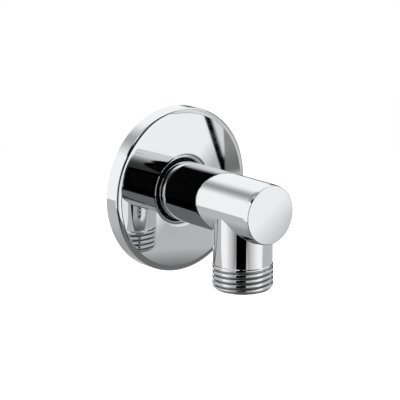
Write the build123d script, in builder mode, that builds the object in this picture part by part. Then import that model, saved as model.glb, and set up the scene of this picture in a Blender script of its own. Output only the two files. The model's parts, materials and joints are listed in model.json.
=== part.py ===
from build123d import *
import os
from math import radians, sqrt, tan

# A wall outlet elbow for a shower hose: a drilled brass elbow, its push-on rosette and its grip ring.
# The origin is where the arm's axis meets the wall, +Z is up and the arm stands out along -Y. Millimetres.

# The arm
ARM_DIAMETER = 21.0
ARM_REACH = 52.1  # wall to the closed front end
ARM_END_BEVEL = 0.7

# The outlet tube under the arm
OUTLET_STEP = 0.25  # how much thinner the tube's radius is than the arm's
OUTLET_REACH = 38.05  # wall to the tube's axis
OUTLET_DROP = 28.3  # arm's axis to the tube's end

# Male G 1/2 threads, as the cylinders that hold them
THREAD_DIAMETER = 20.955
OUTLET_THREAD_LENGTH = 9.0
INLET_THREAD_LENGTH = 12.5
THREAD_CHAMFER = 1.05
NECK_DIAMETER = 18.6  # relief between the arm and the inlet thread
NECK_LENGTH = 1.0

# The waterway
INLET_BORE = 13.0
OUTLET_BORE = 12.0
BORE_PAST_OUTLET = 6.5  # how far the inlet bore's full width runs past the tube's axis
DRILL_TIP_ANGLE = 118.0
MOUTH_CHAMFER = 0.4

# The rosette, a hollow-backed cup round the arm
ROSETTE_DIAMETER = 58.3
ROSETTE_HEIGHT = 6.0  # wall to the crowned face, carried out to the rim
ROSETTE_CROWN = 0.4  # how far the face bulges
ROSETTE_WALL = 1.5
SHOULDER_WIDTH = 1.45  # the face's gentle fall near the rim
SHOULDER_FALL = 0.13
RIM_BEVEL_WIDTH = 0.6  # the steep bevel between the shoulder and the rim's side
RIM_BEVEL_FALL = 0.72
HOLE_CLEARANCE = 0.6
HOLE_ROUND = 2.0
HUB_WALL = 3.0
HUB_SETBACK = 0.8  # wall to the hub's rear end

# The square-cut rubber ring in the hub's groove
RING_WIDTH = 1.9
RING_THICKNESS = 1.5
RING_ARM_CLEARANCE = 0.05
RING_GROOVE_CLEARANCE = 0.05
RING_SIDE_CLEARANCE = 0.2
GROOVE_LAND = 0.6  # hub left behind the groove

arm_radius = ARM_DIAMETER / 2
thread_radius = THREAD_DIAMETER / 2
os.makedirs("parts", exist_ok=True)

# The elbow: the arm and its inlet thread are turned in one piece, and the outlet tube grows down.
neck_radius = NECK_DIAMETER / 2
inlet_radius = INLET_BORE / 2
bore_end = -(OUTLET_REACH + BORE_PAST_OUTLET)
bore_tip = bore_end - inlet_radius / tan(radians(DRILL_TIP_ANGLE / 2))

with BuildPart() as elbow_body:
    with BuildSketch(Plane.YZ):
        with BuildLine():
            Polyline(
                (-ARM_REACH, 0),
                (-ARM_REACH, arm_radius),
                (-NECK_LENGTH, arm_radius),
                (-NECK_LENGTH, neck_radius),
                (0, neck_radius),
                (0, thread_radius),
                (INLET_THREAD_LENGTH, thread_radius),
                (INLET_THREAD_LENGTH, 0),
                close=True,
            )
        make_face()
    revolve(axis=Axis.Y)
    arm_end = elbow_body.edges().filter_by(GeomType.CIRCLE).group_by(Axis.Y)[0]
    chamfer(arm_end, length=ARM_END_BEVEL)

    with BuildSketch(Plane.XY):
        with Locations((0, -OUTLET_REACH)):
            Circle(arm_radius - OUTLET_STEP)
    extrude(amount=-OUTLET_DROP)

    with BuildSketch(Plane.XY.offset(-OUTLET_DROP)):
        with Locations((0, -OUTLET_REACH)):
            Circle(thread_radius)
    extrude(amount=OUTLET_THREAD_LENGTH)
    circles = elbow_body.edges().filter_by(GeomType.CIRCLE)
    chamfer([circles.group_by(Axis.Z)[0], circles.group_by(Axis.Y)[-1]], length=THREAD_CHAMFER)

    with BuildSketch(Plane.YZ):
        with BuildLine():
            Polyline(
                (INLET_THREAD_LENGTH, 0),
                (INLET_THREAD_LENGTH, inlet_radius),
                (bore_end, inlet_radius),
                (bore_tip, 0),
                close=True,
            )
        make_face()
    revolve(axis=Axis.Y, mode=Mode.SUBTRACT)
    with Locations(Location((0, -OUTLET_REACH, -OUTLET_DROP), (180, 0, 0))):
        Hole(radius=OUTLET_BORE / 2, depth=OUTLET_DROP)
    inlet_mouth = elbow_body.faces().sort_by(Axis.Y)[-1].inner_wires()[0].edges()
    outlet_mouth = elbow_body.faces().sort_by(Axis.Z)[0].inner_wires()[0].edges()
    chamfer([inlet_mouth, outlet_mouth], length=MOUTH_CHAMFER)

elbow_body.part.label = "elbow_body"
export_step(elbow_body.part, "parts/elbow_body.step")

# The rosette: one turned profile with a crowned face, a hub round the arm and a groove in the hub.
rosette_radius = ROSETTE_DIAMETER / 2
shoulder_edge = (SHOULDER_FALL - ROSETTE_HEIGHT, rosette_radius - RIM_BEVEL_WIDTH)
face_radius = rosette_radius - RIM_BEVEL_WIDTH - SHOULDER_WIDTH
hole_radius = arm_radius + HOLE_CLEARANCE
hub_radius = hole_radius + HUB_WALL
ceiling = ROSETTE_WALL - ROSETTE_HEIGHT
crown_radius = (rosette_radius**2 + ROSETTE_CROWN**2) / (2 * ROSETTE_CROWN)
ring_radius = arm_radius + RING_ARM_CLEARANCE + RING_THICKNESS / 2
groove_radius = ring_radius + RING_THICKNESS / 2 + RING_GROOVE_CLEARANCE
groove_width = RING_WIDTH + 2 * RING_SIDE_CLEARANCE
groove_centre = -(HUB_SETBACK + GROOVE_LAND + groove_width / 2)


def face_at(radius):
    """The point (y, radius) on the rosette's crowned face."""
    fall = crown_radius - sqrt(crown_radius**2 - radius**2)
    return (fall - ROSETTE_HEIGHT - ROSETTE_CROWN, radius)


with BuildPart() as wall_rosette:
    with BuildSketch(Plane.YZ) as cup:
        with BuildLine():
            face = ThreePointArc(
                face_at(face_radius),
                face_at((face_radius + hole_radius) / 2),
                face_at(hole_radius),
            )
            Polyline(
                face @ 1,
                (-HUB_SETBACK, hole_radius),
                (-HUB_SETBACK, hub_radius),
                (ceiling, hub_radius),
                (ceiling, rosette_radius - ROSETTE_WALL),
                (0, rosette_radius - ROSETTE_WALL),
                (0, rosette_radius),
                (shoulder_edge[0] + RIM_BEVEL_FALL, rosette_radius),
                shoulder_edge,
                face @ 0,
            )
        make_face()
        fillet(cup.vertices().sort_by(Axis.X)[0], radius=HOLE_ROUND)
        with Locations((groove_centre, (hole_radius + groove_radius) / 2)):
            Rectangle(groove_width, groove_radius - hole_radius, mode=Mode.SUBTRACT)
    revolve(axis=Axis.Y)

wall_rosette.part.label = "wall_rosette"
export_step(wall_rosette.part, "parts/wall_rosette.step")

# The rubber ring that grips the arm.
with BuildPart() as grip_ring:
    with BuildSketch(Plane.YZ):
        with Locations((groove_centre, ring_radius)):
            Rectangle(RING_WIDTH, RING_THICKNESS)
    revolve(axis=Axis.Y)

grip_ring.part.label = "grip_ring"
export_step(grip_ring.part, "parts/grip_ring.step")
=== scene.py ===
# %% [markdown]
# # A chromed wall elbow for a shower hose
# The elbow is one piece of plated brass: a straight arm with a closed end, and a threaded outlet tube that
# points down. A round rosette slides along the arm and covers the hole in the tiles. The solids come from the
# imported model. This script gives them mirror-true surfaces, cut threads, finishes, a studio and a camera.

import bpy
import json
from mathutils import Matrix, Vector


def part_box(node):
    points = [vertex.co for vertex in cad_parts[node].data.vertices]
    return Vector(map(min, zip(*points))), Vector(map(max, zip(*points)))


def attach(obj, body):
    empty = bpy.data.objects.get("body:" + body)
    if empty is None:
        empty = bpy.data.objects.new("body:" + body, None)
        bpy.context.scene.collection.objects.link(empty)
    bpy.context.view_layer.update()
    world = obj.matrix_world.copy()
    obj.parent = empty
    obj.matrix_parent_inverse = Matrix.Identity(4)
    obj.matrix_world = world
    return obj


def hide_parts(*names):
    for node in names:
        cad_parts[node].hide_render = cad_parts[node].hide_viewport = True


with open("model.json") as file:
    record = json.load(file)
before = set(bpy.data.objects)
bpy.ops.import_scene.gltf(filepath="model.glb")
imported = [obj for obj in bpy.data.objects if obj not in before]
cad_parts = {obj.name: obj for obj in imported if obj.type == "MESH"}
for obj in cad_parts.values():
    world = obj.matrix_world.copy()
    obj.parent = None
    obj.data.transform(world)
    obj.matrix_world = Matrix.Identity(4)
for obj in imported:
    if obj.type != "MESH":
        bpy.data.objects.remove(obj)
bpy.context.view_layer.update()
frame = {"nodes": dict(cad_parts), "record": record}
print("nodes:", sorted(frame["nodes"]))

# %% [markdown]
# ## Sizes
# A polished mirror shows every flat facet, so the pieces are meshed again here, finely and with exact
# normals. Their outer sizes are read from the frame. Small rounds and hidden inner sizes are named values.

# %% Read the main sizes from the frame
import json
import math

import bmesh
import bpy
import numpy as np
from mathutils import Matrix, Vector

MM = 0.001
mounts = {mount["name"]: mount for mount in frame["record"]["mounts"]}


def box_in_mm(node):
    """The lowest and highest corner of a CAD node, in millimetres."""
    return [np.round(np.array(corner) / MM, 2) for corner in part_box(node)]


elbow_low, elbow_high = box_in_mm("elbow_body")
ring_low, ring_high = box_in_mm("grip_ring")

ARM_RADIUS = elbow_high[2]
ARM_FRONT = elbow_low[1]
INLET_END = elbow_high[1]
OUTLET_END = elbow_low[2]
OUTLET_Y = mounts["outlet_thread"]["pos_m"][1] / MM
THREAD_RADIUS = mounts["outlet_thread"]["dims"]["r_mm"]
ROSETTE_RADIUS = box_in_mm("wall_rosette")[1][2]
print("arm radius", ARM_RADIUS, "front", ARM_FRONT, "outlet", OUTLET_Y, OUTLET_END)

# %% [markdown]
# ## The camera
# The photograph is taken from the left and a little above, with a long lens that hardly converges. The camera
# looks along the direction given by its azimuth and elevation about the elbow, from nine tenths of a metre
# away.

# %% Set up the camera
CAMERA_PLACE = Vector((-0.5598, -0.6691, 0.2214))
CAMERA_AZIMUTH = math.radians(-40.58)
CAMERA_ELEVATION = math.radians(14.54)
CAMERA_LENS = 229.95
SENSOR_WIDTH = 36.0

camera_data = bpy.data.cameras.new("camera")
camera_data.lens = CAMERA_LENS
camera_data.sensor_width = SENSOR_WIDTH
camera = bpy.data.objects.new("camera", camera_data)
camera.location = CAMERA_PLACE
towards_camera = Vector((
    math.sin(CAMERA_AZIMUTH) * math.cos(CAMERA_ELEVATION),
    -math.cos(CAMERA_AZIMUTH) * math.cos(CAMERA_ELEVATION),
    math.sin(CAMERA_ELEVATION),
))
camera.rotation_mode = "QUATERNION"
camera.rotation_quaternion = (-towards_camera).to_track_quat("-Z", "Y")
bpy.context.scene.collection.objects.link(camera)
bpy.context.scene.camera = camera
print("camera", tuple(round(c, 4) for c in camera.location))

# %% [markdown]
# ## Skins with exact normals
# A mirror shows the slope of a surface much more than its place. A usual smooth-shaded mesh averages the
# slopes of neighbouring faces, which smears the reflections beside every edge. So each surface is laid down
# as a grid patch that carries the true normal at each point. The patches are welded into one closed mesh, and
# every face corner keeps the normal of its own patch.

# %% The skin that collects patches
FINISHES = ("polished_chrome", "thread_chrome", "dull_chrome", "bare_brass", "black_rubber")


class Skin:
    """Grid patches in millimetres, each with its own normals."""

    def __init__(self):
        self.points = []
        self.normals = []
        self.faces = []
        self.finishes = []
        self.count = 0

    def loose(self, points, normals, faces, finish):
        """Adds points with their normals, and faces whose turning follows those normals."""
        corners = points[faces]
        turning = np.cross(corners[:, 2] - corners[:, 0], corners[:, 3] - corners[:, 1])
        inward = (turning * normals[faces].mean(axis=1)).sum(axis=1) < 0
        faces = np.where(inward[:, None], faces[:, ::-1], faces)
        self.points.append(points)
        self.normals.append(normals)
        self.faces.append(faces + self.count)
        self.finishes.append(np.full(len(faces), FINISHES.index(finish)))
        self.count += len(points)

    def grid(self, points, normals, finish):
        """Adds a patch of rows and columns, where the last column meets the first."""
        rows, columns = points.shape[:2]
        index = np.arange(rows * columns).reshape(rows, columns)
        beside = np.roll(index, -1, axis=1)
        faces = np.stack((index[:-1], beside[:-1], beside[1:], index[1:]), axis=-1).reshape(-1, 4)
        self.loose(points.reshape(-1, 3), normals.reshape(-1, 3), faces, finish)


print("finishes in order:", ", ".join(FINISHES))

# %% Weld a skin into a piece
WELD = 1e-6


def weld(skin, name):
    """Makes one object of a skin, with custom normals, and prints how many edges stay open."""
    points = np.concatenate(skin.points) * MM
    faces = np.concatenate(skin.faces)
    corner_normals = np.concatenate(skin.normals)[faces.ravel()]
    mesh = bpy.data.meshes.new(name)
    mesh.from_pydata(points.tolist(), [], faces.tolist())
    mesh.polygons.foreach_set("material_index", np.concatenate(skin.finishes).astype(np.int32))
    kept = mesh.attributes.new("true_normal", "FLOAT_VECTOR", "CORNER")
    kept.data.foreach_set("vector", corner_normals.astype(np.float32).ravel())
    shape = bmesh.new()
    shape.from_mesh(mesh)
    bmesh.ops.remove_doubles(shape, verts=shape.verts, dist=WELD)
    open_edges = sum(not edge.is_manifold for edge in shape.edges)
    shape.to_mesh(mesh)
    shape.free()
    mesh.shade_smooth()
    welded = np.empty(len(mesh.loops) * 3, np.float32)
    mesh.attributes["true_normal"].data.foreach_get("vector", welded)
    mesh.attributes.remove(mesh.attributes["true_normal"])
    mesh.normals_split_custom_set(welded.reshape(-1, 3).tolist())
    made = bpy.data.objects.new(name, mesh)
    bpy.context.scene.collection.objects.link(made)
    print(name, len(mesh.polygons), "faces,", open_edges, "open edges")
    return made


print("points closer than", WELD, "m are welded")

# %% [markdown]
# ## Turned surfaces
# Most of this fitting was turned on a lathe, so most patches are a profile line swept round an axis. The
# Screw modifier could sweep it, but it would guess the normals. Here a profile is drawn with the metal on its
# right, as (along, radius, normal along, normal radius), from straight runs and rounds.

# %% Profile runs and rounds
def run(start, end):
    """A straight run of a profile, with the metal on its right."""
    along, out = np.subtract(end, start) / np.hypot(*np.subtract(end, start))
    return np.array([(*start, -out, along), (*end, -out, along)])


def rounded(centre, radius, first, last, steps):
    """A convex round of a profile, between two angles in degrees from the axis direction."""
    turn = np.radians(np.linspace(first, last, steps + 1))
    slope = np.stack((np.cos(turn), np.sin(turn)), axis=-1)
    return np.hstack((np.array(centre) + radius * slope, slope))


print("a run from (0, 1) to (5, 1) faces", run((0, 1), (5, 1))[0, 2:])

# %% The lathe
COLUMNS = 128


def along_arm(along, across, up):
    """Places a lathe point on the arm's axis, which runs along Y."""
    return np.stack((across, along, up), axis=-1)


def along_outlet(along, across, up, centre=OUTLET_Y):
    """Places a lathe point on the outlet's axis, which runs along Z."""
    return np.stack((across, centre + up, along), axis=-1)


def outlet_direction(along, across, up):
    """Turns a lathe direction into the outlet's axes, without moving it."""
    return along_outlet(along, across, up, centre=0.0)


def turn_profile(skin, profile, finish, place=along_arm, point_to=along_arm, columns=COLUMNS):
    """Sweeps one profile run round its axis as a patch."""
    angle = np.linspace(0, 2 * np.pi, columns, endpoint=False) - np.pi
    side, up = np.sin(angle), -np.cos(angle)
    along, radius, normal_along, normal_out = profile.T[:, :, None]
    flat = np.ones_like(side)
    points = place(along * flat, radius * side, radius * up)
    normals = point_to(normal_along * flat, normal_out * side, normal_out * up)
    skin.grid(points, normals, finish)


print("lathe columns", COLUMNS)

# %% [markdown]
# ## Where tube meets arm
# The tube leaves the arm at a crisp crease, and the drilled holes meet inside in the same way. A ball rolled
# along the crease touches both cylinders: its path gives the small round in the crease, and where it touches
# gives the edges of the patches on both sides. One function makes the outside, and again the inside with
# normals reversed.

# %% Rows between two lines, and points on the arm
def between(first, last, rows):
    """Grid rows that run evenly from one row of points to another."""
    share = np.linspace(0, 1, rows + 1)[:, None, None]
    return first + (last - first) * share


def on_arm(radius, turn, along):
    """Points and normals of a cylinder round the arm's axis; turn 0 is straight down."""
    out = np.stack((np.sin(turn), np.zeros_like(turn), -np.cos(turn)), axis=-1)
    return radius * out + along[..., None] * np.array((0, 1, 0)), out


print("straight down on the arm:", on_arm(ARM_RADIUS, np.zeros(1), np.zeros(1))[0][0])

# %% The tee function
RING_STEPS = COLUMNS
SIDE_STEPS = 24
TEE_COLUMNS = 2 * (RING_STEPS + SIDE_STEPS)
CREASE_ROWS = 6
TUBE_ROWS = 4
SPREAD_ROWS = 24


def tee(skin, main, branch, crease, front, back, branch_end, finish, facing):
    """The patches round the meeting of a cylinder along the arm and a smaller one going down."""
    turn = np.arange(TEE_COLUMNS) * 2 * np.pi / TEE_COLUMNS
    reach = branch + crease
    ball = np.stack((reach * np.cos(turn), OUTLET_Y + reach * np.sin(turn), 0 * turn), axis=-1)
    ball[:, 2] = -np.sqrt((main + crease) ** 2 - ball[:, 0] ** 2)
    to_branch = np.stack((-np.cos(turn), -np.sin(turn), 0 * turn), axis=-1)
    to_main = -ball * (1, 0, 1) / (main + crease)

    swing = np.arccos((to_branch * to_main).sum(axis=1))[:, None]
    share = np.linspace(0, 1, CREASE_ROWS + 1)[:, None, None]
    inwards = (np.sin((1 - share) * swing) * to_branch + np.sin(share * swing) * to_main) / np.sin(swing)
    skin.grid(ball + crease * inwards, -inwards * facing, finish)

    top = ball + crease * to_branch
    bottom = top * (1, 1, 0) + (0, 0, branch_end)
    tube = between(top, bottom, TUBE_ROWS)
    skin.grid(tube, np.broadcast_to(-to_branch * facing, tube.shape), finish)

    touch = ball + crease * to_main
    hole = np.stack((np.arctan2(touch[:, 0], -touch[:, 2]), touch[:, 1]), axis=-1)
    half = SIDE_STEPS // 2
    round_turns = np.pi - np.arange(RING_STEPS) * 2 * np.pi / RING_STEPS
    side_lift = front + (back - front) * np.arange(SIDE_STEPS) / SIDE_STEPS
    edge = np.concatenate((
        np.stack((np.full(SIDE_STEPS, np.pi), side_lift), axis=-1)[half:],
        np.stack((round_turns, np.full(RING_STEPS, back)), axis=-1),
        np.stack((np.full(SIDE_STEPS, -np.pi), front + back - side_lift), axis=-1),
        np.stack((-round_turns, np.full(RING_STEPS, front)), axis=-1),
        np.stack((np.full(SIDE_STEPS, np.pi), side_lift), axis=-1)[:half],
    ))
    spread = between(hole, edge, SPREAD_ROWS)
    points, out = on_arm(main, spread[..., 0], spread[..., 1])
    skin.grid(points, out * facing, finish)


print("tee columns", TEE_COLUMNS)

# %% [markdown]
# ## Node helpers
# The thread, the finishes and the studio are all node trees. These short functions add one node each and link
# or set its inputs, so that a tree below reads like a formula.

# %% Functions that add a node
def wire(tree, node, values):
    """Links sockets and sets plain values on a node's inputs, in order."""
    for slot_in, value in zip(node.inputs, values):
        if isinstance(value, bpy.types.NodeSocket):
            tree.links.new(value, slot_in)
        elif value is not None:
            slot_in.default_value = value
    return node.outputs


def calc(tree, operation, *values):
    """One math node."""
    node = tree.nodes.new("ShaderNodeMath")
    node.operation = operation
    return wire(tree, node, values)[0]


def ramp(tree, value, start, end):
    """A soft step from 0 at start to 1 at end."""
    node = tree.nodes.new("ShaderNodeMapRange")
    node.interpolation_type = "SMOOTHSTEP"
    return wire(tree, node, (value, start, end, 0.0, 1.0))[0]


def line(tree, value, start, end, low, high):
    """A straight ramp from low to high, held beyond both ends."""
    return wire(tree, tree.nodes.new("ShaderNodeMapRange"), (value, start, end, low, high))[0]


def paint(tree, below, tone, mask):
    """Lays a tone over what is below it, where the mask is 1."""
    return wire(tree, tree.nodes.new("ShaderNodeMix"), (mask, None, below, tone))[0]


def split(tree, vector):
    """The X, Y and Z of a vector."""
    return wire(tree, tree.nodes.new("ShaderNodeSeparateXYZ"), (vector,))


print("single nodes: calc, ramp, line, paint, split")

# %% Functions that join a few of them
DEGREES = 180 / math.pi


def band(tree, value, left, left_soft, right, right_soft):
    """1 between two edges, with its own softness at each."""
    rise = ramp(tree, value, left - left_soft, left + left_soft)
    fall = ramp(tree, value, right + right_soft, right - right_soft)
    return calc(tree, "MULTIPLY", rise, fall)


def length(tree, *sides):
    """The length of the long side over two others, by Pythagoras."""
    squares = [calc(tree, "MULTIPLY", side, side) for side in sides]
    return calc(tree, "SQRT", calc(tree, "ADD", *squares))


def heading(tree, across, ahead):
    """The angle in degrees from straight ahead, to the right."""
    return calc(tree, "MULTIPLY", calc(tree, "ARCTAN2", across, ahead), DEGREES)


print("joined nodes: band, length, heading")

# %% [markdown]
# ## Threads
# Both ends carry a half-inch pipe thread: 14 turns to the inch, with rounded crests and roots. A thread
# follows a rule, so Geometry Nodes make it: a flat grid is rolled into a sleeve, and its radius dips once per
# pitch along a helix. The groove fades in where the die stopped, and cones cut both ends. The inputs hold all
# sizes, so that one tree serves both threads.

# %% Name the thread tree's inputs
THREAD_INPUTS = {
    "Columns": "NodeSocketInt", "Rows": "NodeSocketInt", "Length": "NodeSocketFloat",
    "Crest Radius": "NodeSocketFloat", "Depth": "NodeSocketFloat", "Pitch": "NodeSocketFloat",
    "Fade Length": "NodeSocketFloat", "Start Radius": "NodeSocketFloat",
    "End Radius": "NodeSocketFloat", "Phase": "NodeSocketFloat", "Material": "NodeSocketMaterial",
}

cut_thread = bpy.data.node_groups.new("cut_thread", "GeometryNodeTree")
for name, kind in THREAD_INPUTS.items():
    cut_thread.interface.new_socket(name, in_out="INPUT", socket_type=kind)
cut_thread.interface.new_socket("Geometry", in_out="OUTPUT", socket_type="NodeSocketGeometry")
given = cut_thread.nodes.new("NodeGroupInput").outputs
print("thread tree with inputs", ", ".join(THREAD_INPUTS))

# %% Shape the groove
ROOT_SHARE = 0.06
CREST_SHARE = 0.45

flat = split(cut_thread, cut_thread.nodes.new("GeometryNodeInputPosition").outputs[0])
turns = calc(cut_thread, "ADD", flat["X"], 0.5)
depth_in = calc(cut_thread, "MULTIPLY", calc(cut_thread, "ADD", flat["Y"], 0.5), given["Length"])
start = calc(cut_thread, "SUBTRACT", given["Phase"], turns)
wave = calc(cut_thread, "ADD", calc(cut_thread, "DIVIDE", depth_in, given["Pitch"]), start)
swing = calc(cut_thread, "PINGPONG", calc(cut_thread, "MULTIPLY", wave, 2.0), 1.0)
height = ramp(cut_thread, swing, ROOT_SHARE, 1.0 - CREST_SHARE)
fade = ramp(cut_thread, depth_in, 0.0, given["Fade Length"])
dip = calc(cut_thread, "MULTIPLY", calc(cut_thread, "SUBTRACT", 1.0, height), fade)
dip = calc(cut_thread, "MULTIPLY", dip, given["Depth"])
groove = calc(cut_thread, "SUBTRACT", given["Crest Radius"], dip)
to_end = calc(cut_thread, "SUBTRACT", given["Length"], depth_in)
start_cone = calc(cut_thread, "ADD", given["Start Radius"], depth_in)
end_cone = calc(cut_thread, "ADD", given["End Radius"], to_end)
radius = calc(cut_thread, "MINIMUM", groove, calc(cut_thread, "MINIMUM", start_cone, end_cone))
print("roots take", ROOT_SHARE, "and crests", CREST_SHARE, "of each flank's swing")

# %% Roll the sleeve
SEAM = 1e-4

columns = calc(cut_thread, "ADD", given["Columns"], 1)
rows = calc(cut_thread, "ADD", given["Rows"], 1)
sheet = wire(cut_thread, cut_thread.nodes.new("GeometryNodeMeshGrid"), (1.0, 1.0, columns, rows))[0]
angle = calc(cut_thread, "MULTIPLY", turns, 2 * math.pi)
across = calc(cut_thread, "MULTIPLY", radius, calc(cut_thread, "COSINE", angle))
up = calc(cut_thread, "MULTIPLY", radius, calc(cut_thread, "SINE", angle))
rolled = wire(cut_thread, cut_thread.nodes.new("ShaderNodeCombineXYZ"), (across, up, depth_in))[0]
sleeve = wire(cut_thread, cut_thread.nodes.new("GeometryNodeSetPosition"), (sheet, None, rolled))[0]
closed = cut_thread.nodes.new("GeometryNodeMergeByDistance")
closed.inputs["Distance"].default_value = SEAM
cut_thread.links.new(sleeve, closed.inputs["Geometry"])
real = wire(cut_thread, cut_thread.nodes.new("GeometryNodeRealizeInstances"), (closed.outputs[0],))[0]
done = cut_thread.nodes.new("GeometryNodeSetMaterial")
cut_thread.links.new(real, done.inputs["Geometry"])
cut_thread.links.new(given["Material"], done.inputs["Material"])
cut_thread.links.new(done.outputs[0], cut_thread.nodes.new("NodeGroupOutput").inputs["Geometry"])
print("thread tree", len(cut_thread.nodes), "nodes")

# %% Cut one thread
PITCH = 25.4 / 14
THREAD_DEPTH = 1.16
THREAD_CHAMFER = 1.05
ROWS_PER_PITCH = 20


def cut(sleeve_length, columns, start_radius, fade_length, phase, place):
    """Runs the tree with these sizes and returns the sleeve's points, normals and faces, put in place."""
    sizes = {
        "Columns": columns, "Rows": round(sleeve_length / PITCH * ROWS_PER_PITCH), "Length": sleeve_length,
        "Crest Radius": THREAD_RADIUS, "Depth": THREAD_DEPTH, "Pitch": PITCH, "Fade Length": fade_length,
        "Start Radius": start_radius, "End Radius": THREAD_RADIUS - THREAD_CHAMFER, "Phase": phase,
    }
    blank = bpy.data.objects.new("blank", bpy.data.meshes.new("blank"))
    bpy.context.scene.collection.objects.link(blank)
    modifier = blank.modifiers.new("thread", "NODES")
    modifier.node_group = cut_thread
    for item in cut_thread.interface.items_tree:
        if item.in_out == "INPUT" and item.name in sizes:
            modifier[item.identifier] = sizes[item.name]
    ready = blank.evaluated_get(bpy.context.evaluated_depsgraph_get())
    mesh = bpy.data.meshes.new_from_object(ready)
    blank.modifiers.remove(modifier)
    bpy.data.objects.remove(blank)
    mesh.transform(place)
    points = np.array([vertex.co for vertex in mesh.vertices])
    normals = np.array([normal.vector for normal in mesh.vertex_normals])
    faces = np.array([list(face.vertices) for face in mesh.polygons])
    bpy.data.meshes.remove(mesh)
    print("thread of", sleeve_length, "mm:", len(faces), "faces")
    return points, normals, faces


print("pitch", round(PITCH, 3), "mm, depth", THREAD_DEPTH, "mm")

# %% Close a thread's end
IN_PLANE = 1e-3


def end_ring(skin, sleeve, centre, facing, mouth_radius, finish):
    """Closes a sleeve's end with a flat ring, from the last row of the thread in to the mouth."""
    from_centre = sleeve[0] - centre
    edge = from_centre[np.abs(from_centre @ facing) < IN_PLANE]
    first = np.cross(facing, (1, 0, 0))
    edge = edge[np.argsort(np.arctan2(edge @ first, edge[:, 0]))]
    mouth = mouth_radius * edge / np.linalg.norm(edge, axis=1)[:, None]
    ring = np.stack((edge, mouth)) + centre
    skin.grid(ring, np.broadcast_to(facing, ring.shape), finish)


print("a sleeve's last row lies within", IN_PLANE, "mm of its end plane")

# %% [markdown]
# ## The elbow
# The arm is turned from brass bar: a flat front disc, the soft shoulder that polishing leaves round it, the
# plain arm, and a narrow relief before the inlet thread. One spun curve would do for an arm alone, but the
# tube breaks through it. So the lathe makes what lies before and behind the tube, and the tee function makes
# what lies between.

# %% Make the elbow's outside
END_SHOULDER = 7.0
END_TILT = math.radians(15)
END_ROUND = 0.3
END_ROUND_STEPS = 12
SHOULDER_STEPS = 8
TUBE_STEP = 0.25
TUBE_RADIUS = ARM_RADIUS - TUBE_STEP
CREASE_ROUND = 0.3
OUTLET_THREAD = 9.0
NECK_RADIUS = 9.3
NECK_LENGTH = 1.0
TEE_REACH = 11.5

elbow_skin = Skin()
inside = END_SHOULDER - END_ROUND
end_ball = (ARM_FRONT + END_ROUND, ARM_RADIUS - END_SHOULDER + inside * math.cos(END_TILT))
shoulder_ball = (end_ball[0] + inside * math.sin(END_TILT), ARM_RADIUS - END_SHOULDER)
end_angle = 90 + math.degrees(END_TILT)
tee_front = OUTLET_Y - TEE_REACH
tee_back = OUTLET_Y + TEE_REACH
thread_top = OUTLET_END + OUTLET_THREAD
for profile in (
    run((ARM_FRONT, 0), (ARM_FRONT, end_ball[1])),
    rounded(end_ball, END_ROUND, 180, end_angle, END_ROUND_STEPS),
    rounded(shoulder_ball, END_SHOULDER, end_angle, 90, SHOULDER_STEPS),
    run((shoulder_ball[0], ARM_RADIUS), (tee_front, ARM_RADIUS)),
    run((tee_back, ARM_RADIUS), (-NECK_LENGTH, ARM_RADIUS)),
    run((-NECK_LENGTH, ARM_RADIUS), (-NECK_LENGTH, NECK_RADIUS)),
    run((-NECK_LENGTH, NECK_RADIUS), (0, NECK_RADIUS)),
):
    turn_profile(elbow_skin, profile, "polished_chrome")
tee(elbow_skin, ARM_RADIUS, TUBE_RADIUS, CREASE_ROUND, tee_front, tee_back, thread_top, "polished_chrome", 1)
print("elbow outside:", elbow_skin.count, "points")

# %% [markdown]
# ## The waterway
# A drill came in from the wall end and left its pointed end just past the outlet, and a second drill came up
# the outlet. A Boolean modifier could cut both bores, but it would break the exact normals. The tee function
# makes the inside too: the same patches as outside, with normals that face into the bore.

# %% Drill the waterway
INLET_BORE = 6.5
OUTLET_BORE = 6.0
BORE_PAST_OUTLET = 6.5
DRILL_HALF_ANGLE = math.radians(59)
MOUTH = 0.4

bore_end = OUTLET_Y - BORE_PAST_OUTLET
bore_tip = bore_end - INLET_BORE / math.tan(DRILL_HALF_ANGLE)
bore_top = OUTLET_END + MOUTH
tee(elbow_skin, INLET_BORE, OUTLET_BORE, CREASE_ROUND, bore_end, tee_back, bore_top, "bare_brass", -1)
for profile in (
    run((INLET_END, INLET_BORE + MOUTH), (INLET_END - MOUTH, INLET_BORE)),
    run((INLET_END - MOUTH, INLET_BORE), (tee_back, INLET_BORE)),
    run((bore_end, INLET_BORE), (bore_tip, 0)),
):
    turn_profile(elbow_skin, profile, "bare_brass")
outlet_mouth = run((OUTLET_END, OUTLET_BORE + MOUTH), (bore_top, OUTLET_BORE)) * (1, 1, -1, -1)
turn_profile(elbow_skin, outlet_mouth, "bare_brass", along_outlet, outlet_direction, TEE_COLUMNS)
print("with the waterway:", elbow_skin.count, "points")

# %% [markdown]
# ## Both threads in place
# The outlet's thread grows out of the plain tube and the inlet's out of the relief. Each sleeve ends in a
# flat ring round the mouth of its bore, where a washer seals. The sleeves have as many columns as the patches
# they meet, so the weld closes every seam. A count of open edges proves it.

# %% Cut the threads, close the ends and weld
OUTLET_FADE = 2.2
OUTLET_PHASE = 0.6
INLET_FADE = 0.8
INLET_PHASE = 0.0

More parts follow.
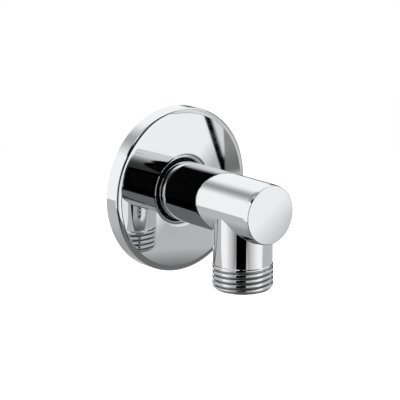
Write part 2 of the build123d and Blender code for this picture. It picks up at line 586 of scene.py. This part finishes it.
down = Matrix.Translation((0, OUTLET_Y, thread_top)) @ Matrix.Rotation(math.pi, 4, "X")
inwards = Matrix.Rotation(-math.pi / 2, 4, "X")
outlet_sleeve = cut(OUTLET_THREAD, TEE_COLUMNS, TUBE_RADIUS, OUTLET_FADE, OUTLET_PHASE, down)
inlet_sleeve = cut(INLET_END, COLUMNS, NECK_RADIUS, INLET_FADE, INLET_PHASE, inwards)
elbow_skin.loose(*outlet_sleeve, "thread_chrome")
elbow_skin.loose(*inlet_sleeve, "dull_chrome")
outlet_centre = np.array((0, OUTLET_Y, OUTLET_END))
inlet_centre = np.array((0, INLET_END, 0))
downwards = np.array((0, 0, -1.0))
backwards = np.array((0, 1.0, 0))
end_ring(elbow_skin, outlet_sleeve, outlet_centre, downwards, OUTLET_BORE + MOUTH, "dull_chrome")
end_ring(elbow_skin, inlet_sleeve, inlet_centre, backwards, INLET_BORE + MOUTH, "dull_chrome")
elbow = weld(elbow_skin, "elbow")

# %% [markdown]
# ## The rosette
# The cover plate is a turned cup: a slightly crowned face, a soft shoulder, a small round at the rim, and a
# hollow back with a hub round the arm. A bevelled disc would have nearly the same outline, but the crown and
# the shoulder are what bend the reflections near the rim. So each round is placed where it touches the
# crowned face without a kink, and the back, which nobody polishes, is plain straight runs.

# %% Work out the rosette's face
ROSETTE_HEIGHT = 6.0
ROSETTE_CROWN = 0.4
SHOULDER_ROUND = 6.0
SHOULDER_TILT = math.radians(14)
RIM_ROUND = 1.0
HOLE_GAP = 0.6
HOLE_RADIUS = ARM_RADIUS + HOLE_GAP
HOLE_ROUND = 2.0

CROWN_RADIUS = (ROSETTE_RADIUS**2 + ROSETTE_CROWN**2) / (2 * ROSETTE_CROWN)
crown_centre = CROWN_RADIUS - ROSETTE_HEIGHT - ROSETTE_CROWN


def ball_under_face(radius_out, size):
    """Where a round of this size touches the crowned face from inside: its centre, and its angle there."""
    inner_crown = CROWN_RADIUS - size
    lift = math.sqrt(inner_crown**2 - radius_out**2)
    return (crown_centre - lift, radius_out), 180 - math.degrees(math.asin(radius_out / inner_crown))


hole_ball, hole_angle = ball_under_face(HOLE_RADIUS + HOLE_ROUND, HOLE_ROUND)
rim_out = ROSETTE_RADIUS - RIM_ROUND
inside = SHOULDER_ROUND - RIM_ROUND
shoulder_ball, face_angle = ball_under_face(rim_out - inside * math.sin(SHOULDER_TILT), SHOULDER_ROUND)
rim_ball = (shoulder_ball[0] - inside * math.cos(SHOULDER_TILT), rim_out)
rim_angle = 180 - math.degrees(SHOULDER_TILT)
print("crown radius", round(CROWN_RADIUS, 1), "mm")
print("the face slopes", round(180 - face_angle, 2), "degrees at the shoulder")

# %% Turn the rosette's front
ROSETTE_COLUMNS = 256
HOLE_STEPS = 16
FACE_STEPS = 24
RIM_STEPS = 12

rosette_skin = Skin()
for profile in (
    rounded(hole_ball, HOLE_ROUND, 270, hole_angle, HOLE_STEPS),
    rounded((crown_centre, 0), CROWN_RADIUS, hole_angle, face_angle, FACE_STEPS),
    rounded(shoulder_ball, SHOULDER_ROUND, face_angle, rim_angle, RIM_STEPS),
    rounded(rim_ball, RIM_ROUND, rim_angle, 90, RIM_STEPS),
    run((rim_ball[0], ROSETTE_RADIUS), (0, ROSETTE_RADIUS)),
):
    turn_profile(rosette_skin, profile, "polished_chrome", columns=ROSETTE_COLUMNS)
print("rosette front:", rosette_skin.count, "points")

# %% Turn its hollow back
ROSETTE_WALL = 1.5
HUB_WALL = 3.0
HUB_RADIUS = HOLE_RADIUS + HUB_WALL
HUB_END = -0.8
RING_GAP = 0.05
RING_SIDE_GAP = 0.2
GROOVE_RADIUS = ring_high[2] + RING_GAP
GROOVE_FRONT = ring_low[1] - RING_SIDE_GAP
GROOVE_BACK = ring_high[1] + RING_SIDE_GAP

ceiling = ROSETTE_WALL - ROSETTE_HEIGHT
inner_wall = ROSETTE_RADIUS - ROSETTE_WALL
back_line = (
    (0, ROSETTE_RADIUS), (0, inner_wall), (ceiling, inner_wall), (ceiling, HUB_RADIUS), (HUB_END, HUB_RADIUS),
    (HUB_END, HOLE_RADIUS), (GROOVE_BACK, HOLE_RADIUS), (GROOVE_BACK, GROOVE_RADIUS),
    (GROOVE_FRONT, GROOVE_RADIUS), (GROOVE_FRONT, HOLE_RADIUS), (hole_ball[0], HOLE_RADIUS),
)
for first, second in zip(back_line, back_line[1:]):
    turn_profile(rosette_skin, run(first, second), "dull_chrome", columns=ROSETTE_COLUMNS)
rosette = weld(rosette_skin, "rosette")

# %% [markdown]
# ## The grip ring
# A square-cut rubber ring sits in the hub's groove and holds the plate on the arm by friction. It is hidden,
# so a plain torus would pass, but the square section fills its groove as the real one does. It is turned like
# the rest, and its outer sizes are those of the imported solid.

# %% Turn the grip ring
ring_skin = Skin()
ring_inner = ARM_RADIUS + RING_GAP
ring_line = (
    (ring_low[1], ring_inner), (ring_low[1], ring_high[2]), (ring_high[1], ring_high[2]),
    (ring_high[1], ring_inner), (ring_low[1], ring_inner),
)
for first, second in zip(ring_line, ring_line[1:]):
    turn_profile(ring_skin, run(first, second), "black_rubber")
grip_ring = weld(ring_skin, "rubber_ring")

# %% [markdown]
# ## What all finishes share
# Chrome plate is a mirror with a faint blue cast. Polishing leaves it a little hazy in places and not quite
# flat, which is why reflections in real fittings waver. Dull plate, brass and rubber have the same kind of
# patches, only stronger. So one shader node group makes them, and each finish sets its own scales. The group
# puts out only what varies: the haze, from 0 to 1, and the height of the waves.

# %% The shared patches group
DETAILS = {"Haze": 3.0, "Wave": 0.0}

patches = bpy.data.node_groups.new("patches", "ShaderNodeTree")
for name in DETAILS:
    patches.interface.new_socket(name + " Scale", in_out="INPUT", socket_type="NodeSocketFloat")
    patches.interface.new_socket(name, in_out="OUTPUT", socket_type="NodeSocketFloat")
given = patches.nodes.new("NodeGroupInput").outputs
given_out = patches.nodes.new("NodeGroupOutput").inputs
own_place = patches.nodes.new("ShaderNodeTexCoord").outputs["Object"]
for name, detail in DETAILS.items():
    noise = patches.nodes.new("ShaderNodeTexNoise")
    noise.inputs["Detail"].default_value = detail
    patches.links.new(own_place, noise.inputs["Vector"])
    patches.links.new(given[name + " Scale"], noise.inputs["Scale"])
    patches.links.new(noise.outputs[0], given_out[name])
print("patches group:", len(patches.nodes), "nodes")

# %% Functions that start and vary a finish
HAZE_LOW = 0.3
HAZE_HIGH = 0.7
HAZE_SCALE = 300.0
WAVE_SCALE = 60.0


def new_finish(name, tint, metallic, haze_scale=HAZE_SCALE):
    """A new material with its patches: returns it, its tree, the shader's inputs, haze, wave and place."""
    material = bpy.data.materials.new(name)
    material.use_nodes = True
    tree = material.node_tree
    shader = tree.nodes["Principled BSDF"].inputs
    shader["Base Color"].default_value = (*tint, 1)
    shader["Metallic"].default_value = metallic
    shared = tree.nodes.new("ShaderNodeGroup")
    shared.node_tree = patches
    shared.inputs["Haze Scale"].default_value = haze_scale
    shared.inputs["Wave Scale"].default_value = WAVE_SCALE
    place = split(tree, tree.nodes.new("ShaderNodeTexCoord").outputs["Object"])
    return material, tree, shader, shared.outputs["Haze"], shared.outputs["Wave"], place


def tints(tree, low, high, share):
    """A colour between two tints."""
    mix = tree.nodes.new("ShaderNodeMix")
    mix.data_type = "RGBA"
    mix.inputs[6].default_value = (*low, 1)
    mix.inputs[7].default_value = (*high, 1)
    tree.links.new(share, mix.inputs[0])
    return mix.outputs[2]


def rougher(tree, haze, least, most):
    """Roughness that follows the haze, whose noise stays mostly between its low and high value."""
    return line(tree, haze, HAZE_LOW, HAZE_HIGH, least, most)


def bump(tree, height, depth):
    """A normal bent by a height of this depth in metres."""
    node = tree.nodes.new("ShaderNodeBump")
    node.inputs["Distance"].default_value = depth
    tree.links.new(height, node.inputs["Height"])
    return node.outputs[0]


print("haze spots", round(1 / HAZE_SCALE / MM, 1), "mm wide, waves", round(1 / WAVE_SCALE / MM, 1), "mm long")

# %% [markdown]
# ## Chrome, polished and threaded
# The polished chrome is almost a perfect mirror, and its waves are a thousandth of a millimetre high. The
# outlet's thread is plated too, but a polishing wheel can't get into its valleys or round its end cone, so
# these stay dull. The valleys' darker tint is partly that duller plating and partly painted shade in the
# grooves. The distance from the outlet's axis tells crest from valley, with no need for an image mask.

# %% Build the polished chrome
CHROME = (0.85, 0.86, 0.872)
BRIGHT_CHROME = (0.875, 0.882, 0.89)
POLISHED_ROUGHNESS = (0.012, 0.03)
WAVE_DEPTH = 1e-6

polished, tree, shader, haze, wave, place = new_finish("polished_chrome", CHROME, 1.0)
tree.links.new(tints(tree, CHROME, BRIGHT_CHROME, haze), shader["Base Color"])
tree.links.new(rougher(tree, haze, *POLISHED_ROUGHNESS), shader["Roughness"])
tree.links.new(bump(tree, wave, WAVE_DEPTH), shader["Normal"])
print("made", polished.name)

# %% Build the thread's chrome
# The darker valley tint is painted shade in the thread's grooves, on top of the duller plating there.
VALLEY_CHROME_AND_SHADE = (0.52, 0.523, 0.53)
VALLEY_START = THREAD_RADIUS - 0.15
VALLEY_FLOOR = THREAD_RADIUS - 0.8
CONE_TOP = OUTLET_END + 1.5
CONE_FULL = OUTLET_END + 1.2
UNPOLISHED_ROUGHNESS = (0.0, 0.5, 0.03, 0.35)

threaded, tree, shader, haze, wave, place = new_finish("thread_chrome", CHROME, 1.0)
from_axis = length(tree, place["X"], calc(tree, "SUBTRACT", place["Y"], OUTLET_Y * MM))
valley_dull_and_shade = ramp(tree, from_axis, VALLEY_START * MM, VALLEY_FLOOR * MM)
cone = ramp(tree, place["Z"], CONE_TOP * MM, CONE_FULL * MM)
unpolished = calc(tree, "MULTIPLY", calc(tree, "MAXIMUM", valley_dull_and_shade, cone), haze)
# Crests take the bright chrome and valleys the darker tint, which paints shade into the grooves.
tree.links.new(tints(tree, BRIGHT_CHROME, VALLEY_CHROME_AND_SHADE, valley_dull_and_shade), shader["Base Color"])
tree.links.new(line(tree, unpolished, *UNPOLISHED_ROUGHNESS), shader["Roughness"])
print("made", threaded.name)

# %% [markdown]
# ## The finishes out of sight
# Hidden faces are plated but never polished. The waterway is bare brass with the rings that a drill leaves,
# made from noise in one dimension along each bore. The ring is moulded rubber with a fine grain.

# %% Build the dull chrome
DULL_DARK = (0.6, 0.61, 0.62)
DULL_LIGHT = (0.72, 0.73, 0.74)
DULL_ROUGHNESS = (0.2, 0.34)

dull, tree, shader, haze, wave, place = new_finish("dull_chrome", DULL_LIGHT, 1.0)
tree.links.new(tints(tree, DULL_DARK, DULL_LIGHT, haze), shader["Base Color"])
tree.links.new(rougher(tree, haze, *DULL_ROUGHNESS), shader["Roughness"])
print("made", dull.name)

# %% Build the drilled brass
BRASS_DARK = (0.58, 0.42, 0.19)
BRASS_LIGHT = (0.76, 0.6, 0.32)
BRASS_ROUGHNESS = (0.25, 0.4)
DRILL_RINGS = 2500.0
BORE_CHANGE = 1.0
GRAIN_DEPTH = 2e-5

brass, tree, shader, haze, wave, place = new_finish("bare_brass", BRASS_LIGHT, 1.0)
in_outlet = ramp(tree, place["Z"], -INLET_BORE * MM, -(INLET_BORE + BORE_CHANGE) * MM)
rings = tree.nodes.new("ShaderNodeTexNoise")
rings.noise_dimensions = "1D"
rings.inputs["Scale"].default_value = DRILL_RINGS
tree.links.new(paint(tree, place["Y"], place["Z"], in_outlet), rings.inputs["W"])
tree.links.new(tints(tree, BRASS_DARK, BRASS_LIGHT, rings.outputs[0]), shader["Base Color"])
tree.links.new(rougher(tree, haze, *BRASS_ROUGHNESS), shader["Roughness"])
tree.links.new(bump(tree, rings.outputs[0], GRAIN_DEPTH), shader["Normal"])
print("made", brass.name)

# %% Build the rubber
RUBBER_DARK = (0.014, 0.014, 0.015)
RUBBER_LIGHT = (0.03, 0.03, 0.03)
RUBBER_ROUGHNESS = (0.5, 0.72)
RUBBER_GRAIN = 900.0

rubber, tree, shader, haze, wave, place = new_finish("black_rubber", RUBBER_LIGHT, 0.0, RUBBER_GRAIN)
tree.links.new(tints(tree, RUBBER_DARK, RUBBER_LIGHT, haze), shader["Base Color"])
tree.links.new(rougher(tree, haze, *RUBBER_ROUGHNESS), shader["Roughness"])
tree.links.new(bump(tree, haze, GRAIN_DEPTH), shader["Normal"])
print("made", rubber.name)

# %% [markdown]
# ## Dressing the pieces
# Every face already holds the number of its finish, so each piece only needs the list of materials in that
# order. Then the piece is tied to the body that carries it, so that it moves with the sliding plate or stays
# with the arm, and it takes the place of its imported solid.

# %% Dress the pieces and tie them to their bodies
for piece, body, node, slot in (
    (elbow, "elbow", "elbow_body", "chrome_body"),
    (rosette, "rosette", "wall_rosette", "chrome_rosette"),
    (grip_ring, "rosette", "grip_ring", "black_rubber"),
):
    for material in (polished, threaded, dull, brass, rubber):
        piece.data.materials.append(material)
    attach(piece, body)
    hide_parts(node)
    print(piece.name, "rides on", body)

# %% [markdown]
# ## The studio
# Polished chrome has no colour of its own to show: its look is the studio, mirrored. White walls alone would
# leave it flat, so a product studio has darkness where edges need drawing. Here the world is a white backdrop
# with a dim right wall, a few dark gaps and the dark room behind the camera. The camera itself sees plain
# white. Directions are worked out in degrees, so that each area can be placed where the chrome mirrors it.

# %% The directions in which the world is seen
world = bpy.data.worlds.new("studio")
bpy.context.scene.world = world
world.use_nodes = True
tree = world.node_tree
axes = split(tree, tree.nodes.new("ShaderNodeTexCoord").outputs["Generated"])
azimuth = heading(tree, axes["X"], calc(tree, "MULTIPLY", axes["Y"], -1.0))
behind = heading(tree, axes["X"], axes["Y"])
elevation = calc(tree, "MULTIPLY", calc(tree, "ARCSINE", axes["Z"]), DEGREES)
print("world", world.name, "with azimuth, bearing behind and elevation")

# %% The backdrop and its dark areas
# Each area has its tone, its kind of bearing, its left edge and softness, its right edge and softness, and
# then its lower and upper edge in the same way, all in degrees.
AREAS = {
    "right wall": (0.42, azimuth, (48, 2, 136, 2), (-90, 1, 12, 8)),
    "gap beside the right wall": (0.02, azimuth, (80, 8, 134, 3), (-9, 2, 24, 6)),
    "gap above the backdrop": (0.33, behind, (-45, 5, -4, 16), (33, 8, 80, 10)),
    "low stand behind": (0.06, behind, (28, 3, 52, 3), (-20, 1, 3, 4)),
    "gap above the left panel": (0.02, azimuth, (-132, 12, -60, 2), (40, 2, 56, 4)),
    "dark room": (0.002, azimuth, (-66, 1, 48, 2), (-200, 1, 200, 1)),
}
tone = 1.0
for shade, bearing, sides, ends in AREAS.values():
    mask = calc(tree, "MULTIPLY", band(tree, bearing, *sides), band(tree, elevation, *ends))
    tone = paint(tree, tone, shade, mask)
seen = paint(tree, tone, 1.0, tree.nodes.new("ShaderNodeLightPath").outputs["Is Camera Ray"])
tree.links.new(seen, tree.nodes["Background"].inputs["Color"])
print("backdrop with", ", ".join(AREAS))

# %% [markdown]
# ## Panel and softbox
# A white panel stands on the left and a large softbox in front on the right. Area lamps would light the
# scene, but a mirror needs something to look at, so both are flat cards that glow. A card can carry edges and
# fades of its own, which is what the flat rosette mirrors: the softbox's slanted edge, its black frame and
# the grey strip beside it.

# %% Functions that set up a card
CARD_DISTANCE = 0.555


def card(name, facing, left, right, bottom, top):
    """A flat card that faces the fitting, hidden from the camera; its local X runs right and Y up."""
    corners = [(left, bottom, 0), (right, bottom, 0), (right, top, 0), (left, top, 0)]
    mesh = bpy.data.meshes.new(name)
    mesh.from_pydata(corners, [], [(0, 1, 2, 3)])
    made = bpy.data.objects.new(name, mesh)
    turn = math.radians(facing)
    away = Vector((math.sin(turn), -math.cos(turn), 0))
    sideways = Vector((math.cos(turn), math.sin(turn), 0))
    made.matrix_world = Matrix.Translation(away * CARD_DISTANCE) @ Matrix((
        (sideways.x, 0, -away.x, 0), (sideways.y, 0, -away.y, 0), (0, 1, 0, 0), (0, 0, 0, 1),
    ))
    made.visible_camera = False
    bpy.context.scene.collection.objects.link(made)
    material = bpy.data.materials.new(name)
    material.use_nodes = True
    tree = material.node_tree
    tree.nodes.clear()
    mesh.materials.append(material)
    spot = split(tree, tree.nodes.new("ShaderNodeTexCoord").outputs["Object"])
    print("card", name)
    return tree, spot["X"], spot["Y"]


def glow(tree, tone):
    """Ends a card's material: it glows with this tone."""
    light = tree.nodes.new("ShaderNodeEmission")
    tree.links.new(tone, light.inputs["Color"])
    tree.links.new(light.outputs[0], tree.nodes.new("ShaderNodeOutputMaterial").inputs[0])


print("cards stand", CARD_DISTANCE, "m away")

# %% The left panel
PANEL_FADE = (-0.05, 0.36, 1.0, 0.25)

tree, across, height = card("left_panel", facing=-100, left=-0.335, right=0.39, bottom=-0.2, top=0.42)
glow(tree, line(tree, across, *PANEL_FADE))
print("the panel fades to", PANEL_FADE[3])

# %% The softbox and its slanted lower edge
LEFT_FADE = (-0.57, 0.02, 0.08, 1.0)
RIGHT_FADE = (0.1, 0.24, 1.0, 0.96)
SLANT = 0.9
SLANT_START = -0.3873
SLANT_FADE = (0.018, -0.012, 0.0, 1.0)
SLANT_TONE = 0.5

tree, across, height = card("right_softbox", facing=15, left=-0.56, right=0.7, bottom=-0.2, top=0.48)
light = calc(tree, "MULTIPLY", line(tree, across, *LEFT_FADE), line(tree, across, *RIGHT_FADE))
above_slant = calc(tree, "SUBTRACT", height, calc(tree, "MULTIPLY_ADD", across, SLANT, SLANT_START))
light = paint(tree, light, SLANT_TONE, line(tree, above_slant, *SLANT_FADE))
print("below the slant the softbox has a tone of", SLANT_TONE)

# %% Its black frame, the strip beside it and the wall beyond
RIGHT_EDGE = 0.2388
EDGE_LEAN = 0.452
FRAME = 0.0052
CRISP = 0.001
STRIP_EDGE = 0.2925
STRIP_LEAN = 0.115
STRIP_TONE = 0.75
STRIP_BOTTOM = (-0.136, -0.127)
LOW_GREY = (-0.14, -0.12, 0.18, 0.27)
HIGH_GREY = (-0.1, -0.04, 0.0, 0.53)
WALL_TONE = 0.6
WALL_EDGE = (0.33, 0.338)

from_edge = calc(tree, "MULTIPLY_ADD", height, EDGE_LEAN, across)
from_strip = calc(tree, "MULTIPLY_ADD", height, STRIP_LEAN, across)
strip = calc(tree, "MULTIPLY", ramp(tree, height, *STRIP_BOTTOM), STRIP_TONE)
grey = calc(tree, "ADD", line(tree, height, *LOW_GREY), line(tree, height, *HIGH_GREY))
light = paint(tree, light, 0.0, ramp(tree, from_edge, RIGHT_EDGE - CRISP, RIGHT_EDGE + CRISP))
light = paint(tree, light, strip, ramp(tree, from_edge, RIGHT_EDGE + FRAME, RIGHT_EDGE + 2 * FRAME))
light = paint(tree, light, grey, ramp(tree, from_strip, STRIP_EDGE - CRISP / 2, STRIP_EDGE + CRISP / 2))
light = paint(tree, light, WALL_TONE, ramp(tree, across, *WALL_EDGE))
print("frame", FRAME, "m wide, strip up to", STRIP_EDGE)

# %% Its lower right corner and its dark top
FLOOR_TONE = 0.515
CORNER_TOP = (-0.145, -0.153)
CORNER_LEFT = (0.25, 0.28)
TOP_FADE = (0.48, 0.29)
DARK_FROM = (0.03, 0.08)
DARK_SIDE = (0.05, -0.03)
DARK_TONE = 0.02

corner = calc(tree, "MULTIPLY", ramp(tree, height, *CORNER_TOP), ramp(tree, across, *CORNER_LEFT))
light = paint(tree, light, FLOOR_TONE, corner)
light = calc(tree, "MULTIPLY", light, ramp(tree, height, *TOP_FADE))
dark_top = calc(tree, "MULTIPLY", ramp(tree, height, *DARK_FROM), ramp(tree, across, *DARK_SIDE))
light = paint(tree, light, DARK_TONE, dark_top)
print("the corner takes the floor's tone,", FLOOR_TONE)

# %% [markdown]
# ## The softbox's upper edge
# The rosette mirrors the arm, and the arm in that mirror shows the softbox from below: a long fade into the
# dark, and a black wedge where the view slips over the upper edge. A plain cut would give the mirrored arm
# one hard line. So the upper part gets a steep fade to the left, and two leaning lines end it.

# %% Fade the upper part
FADE_ACROSS = (-0.52, 0.22)
FADE_POWER = 3.0
FADE_LEAST = 0.035
FADE_END = (-0.48, -0.465)
TOP_EDGES = ((0.447, 0.09), (0.412, 0.45))
TOP_SOFTNESS = 0.004
UPPER_FROM = (0.22, 0.3)
UPPER_SIDE = (0.13, 0.07)

fade = calc(tree, "POWER", ramp(tree, across, *FADE_ACROSS), FADE_POWER)
fade = calc(tree, "MULTIPLY", calc(tree, "ADD", fade, FADE_LEAST), ramp(tree, across, *FADE_END))
for edge, lean in TOP_EDGES:
    from_top = calc(tree, "MULTIPLY_ADD", across, lean, height)
    fade = calc(tree, "MULTIPLY", fade, ramp(tree, from_top, edge + TOP_SOFTNESS, edge - TOP_SOFTNESS))
upper = calc(tree, "MULTIPLY", ramp(tree, height, *UPPER_FROM), ramp(tree, across, *UPPER_SIDE))
glow(tree, paint(tree, light, fade, upper))
print("softbox painted with", len(tree.nodes), "nodes")

# %% [markdown]
# ## The floor
# The fitting hangs over a pale floor. To the camera it is matt and nearly white, and keeps the faint shadow.
# To the chrome it is a glowing sheet that darkens close in, where the fitting itself shades it, and that is
# black where the camera stands. One plain colour would leave the arm's underside flat. From below it lets
# light through.

# %% Lay the floor
FLOOR_LEVEL = -0.2
FLOOR_RADIUS = 0.9
FLOOR_SIDES = 96

bpy.ops.mesh.primitive_circle_add(
    vertices=FLOOR_SIDES, radius=FLOOR_RADIUS, fill_type="NGON", location=(0, 0, FLOOR_LEVEL),
)
floor = bpy.context.object
floor.name = "floor"
material = bpy.data.materials.new("pale_floor")
material.use_nodes = True
floor.data.materials.append(material)
tree = material.node_tree
tree.nodes.clear()
print("floor", 2 * FLOOR_RADIUS, "m wide, at", FLOOR_LEVEL)

# %% Shade the floor that the chrome mirrors
FRONT = (0.05, -0.12)
SHADE_IN_FRONT = (0.5215, 0.5757, 0.3, 1.0)
SHADE_BEHIND = (0.05, 0.3, 0.3, 1.0)
DARK_LEAN = -0.345
DARK_EDGE = (-0.085, -0.105)
DARK_LEFT = (-66, -62)
RING_SIDE = (4, -8)
RING_REACH = (0.4, 0.02, 0.5, 0.04)

spot = split(tree, tree.nodes.new("ShaderNodeTexCoord").outputs["Object"])
reach = length(tree, spot["X"], spot["Y"])
in_front = ramp(tree, spot["Y"], *FRONT)
shade = paint(tree, line(tree, reach, *SHADE_BEHIND), line(tree, reach, *SHADE_IN_FRONT), in_front)
bearing = heading(tree, spot["X"], calc(tree, "MULTIPLY", spot["Y"], -1.0))
leaning = calc(tree, "MULTIPLY_ADD", spot["Y"], DARK_LEAN, spot["X"])
dark = calc(tree, "MULTIPLY", ramp(tree, bearing, *DARK_LEFT), ramp(tree, leaning, *DARK_EDGE))
dark_ring = calc(tree, "MULTIPLY", ramp(tree, bearing, *RING_SIDE), band(tree, reach, *RING_REACH))
dark = calc(tree, "MAXIMUM", dark, calc(tree, "MULTIPLY", dark_ring, in_front))
shade = paint(tree, shade, 0.0, dark)
print("the floor in front darkens from", SHADE_IN_FRONT[1], "to", SHADE_IN_FRONT[0], "m")

# %% Let the floor look pale to the camera
MATT_GREY = (0.8, 0.8, 0.8, 1)
LIFT = 0.75

mirrored = tree.nodes.new("ShaderNodeEmission")
tree.links.new(shade, mirrored.inputs["Color"])
mirrored.inputs["Strength"].default_value = FLOOR_TONE
matt = tree.nodes.new("ShaderNodeBsdfDiffuse")
matt.inputs["Color"].default_value = MATT_GREY
lift = tree.nodes.new("ShaderNodeEmission")
lift.inputs["Strength"].default_value = LIFT
pale = wire(tree, tree.nodes.new("ShaderNodeAddShader"), (matt.outputs[0], lift.outputs[0]))[0]
to_camera = tree.nodes.new("ShaderNodeLightPath").outputs["Is Camera Ray"]
facing = wire(tree, tree.nodes.new("ShaderNodeMixShader"), (to_camera, mirrored.outputs[0], pale))[0]
underneath = tree.nodes.new("ShaderNodeNewGeometry").outputs["Backfacing"]
clear = tree.nodes.new("ShaderNodeBsdfTransparent").outputs[0]
sheet = wire(tree, tree.nodes.new("ShaderNodeMixShader"), (underneath, facing, clear))[0]
tree.links.new(sheet, tree.nodes.new("ShaderNodeOutputMaterial").inputs[0])
print("floor material:", len(tree.nodes), "nodes")

# %% [markdown]
# ## The colour view
# The Standard view shows colours as they are written.

# %% Set the Standard view
bpy.context.scene.view_settings.view_transform = "Standard"
